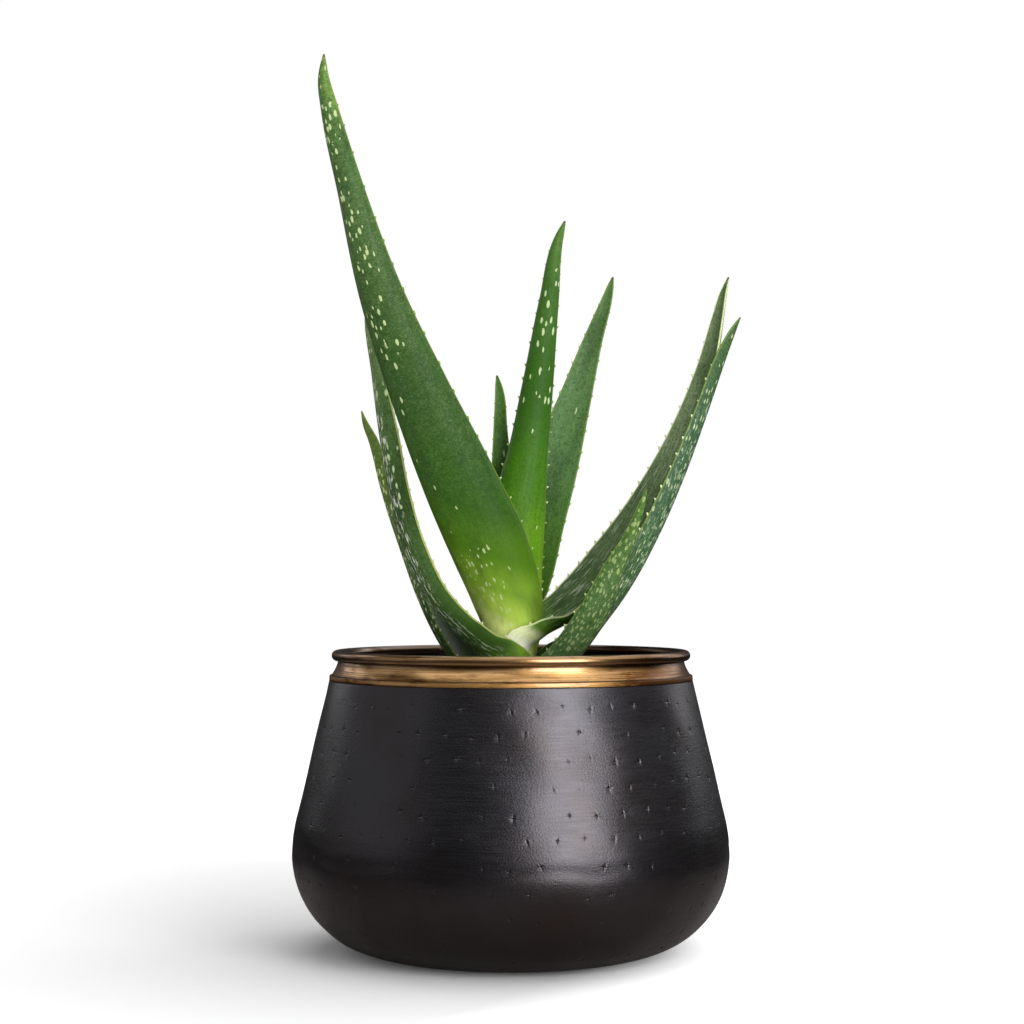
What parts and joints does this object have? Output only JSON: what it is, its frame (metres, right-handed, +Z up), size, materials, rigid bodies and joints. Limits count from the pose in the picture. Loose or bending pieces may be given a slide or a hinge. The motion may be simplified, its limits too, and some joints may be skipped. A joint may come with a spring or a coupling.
{
  "type": "potted aloe vera",
  "caption": "Aloe vera plant with long tapering toothed leaves, standing in a hammered black bowl-shaped planter with an antique brass collar.",
  "frame": {"origin": "centre of the planter's flat base, on the surface that it stands on", "axes": "+Z up, +X to the right of the picture's view, +Y away from the viewer"},
  "size_m": [0.2427, 0.2392, 0.472],
  "materials": {
    "black_metal": "satin",
    "antique_brass": "satin",
    "pot_plastic": "matte",
    "potting_soil": "matte",
    "stem_flesh": "satin",
    "leaf_green": "satin",
    "leaf_young_green": "satin"
  },
  "bodies": {
    "root": {"planter_shell": "black_metal", "planter_collar": "antique_brass", "nursery_pot": "pot_plastic", "soil": "potting_soil", "stem": "stem_flesh", "leaf_left": "leaf_green", "leaf_right": "leaf_green", "leaf_tall": "leaf_green", "leaf_small_front": "leaf_young_green", "leaf_far_right": "leaf_green", "leaf_centre": "leaf_young_green", "leaf_back": "leaf_green", "leaf_young": "leaf_young_green", "leaf_far_left": "leaf_green"}
  },
  "joints": []
}
